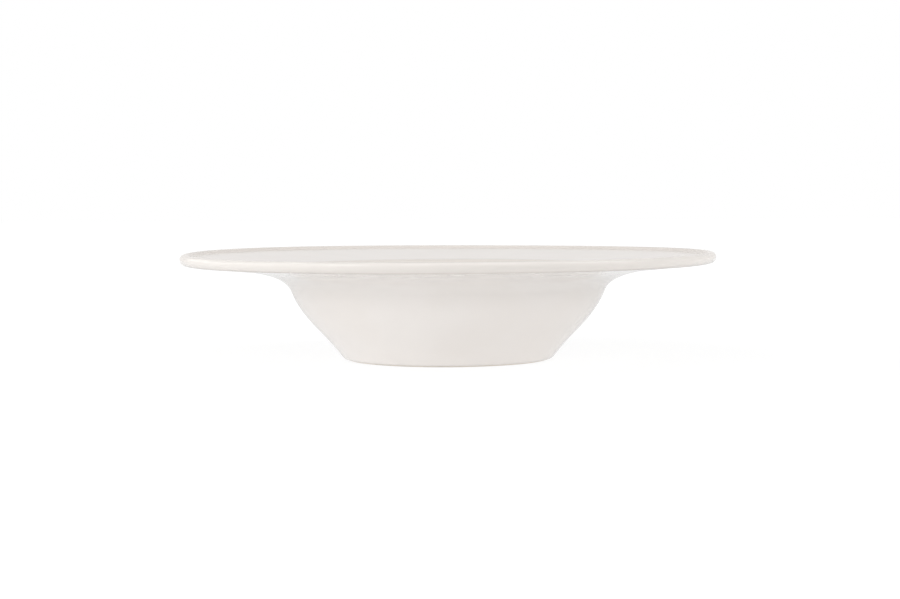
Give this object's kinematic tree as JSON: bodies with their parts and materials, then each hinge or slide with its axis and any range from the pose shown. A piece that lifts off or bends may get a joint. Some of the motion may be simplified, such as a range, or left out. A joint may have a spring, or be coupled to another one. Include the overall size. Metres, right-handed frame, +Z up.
{
  "type": "deep plate",
  "caption": "Round deep plate of glazed porcelain with a sunken well, a wide flat rim that ends in a rolled edge, and a bare foot ring, for serving pasta or soup.",
  "frame": {"origin": "centre of the foot ring on the surface that the plate stands on", "axes": "+Z up along the axis that the plate is turned about; the plate is round, so +X and +Y are free"},
  "size_m": [0.27, 0.27, 0.054],
  "materials": {
    "bisque": "fired unglazed porcelain, matt and very fine grained, ground smooth on the foot ring",
    "glaze": "clear gloss glaze over ivory-white porcelain, faintly uneven, with a few fine specks"
  },
  "bodies": {
    "root": {"porcelain_body": "bisque", "glaze_coat": "glaze", "base_glaze": "glaze"}
  },
  "joints": []
}
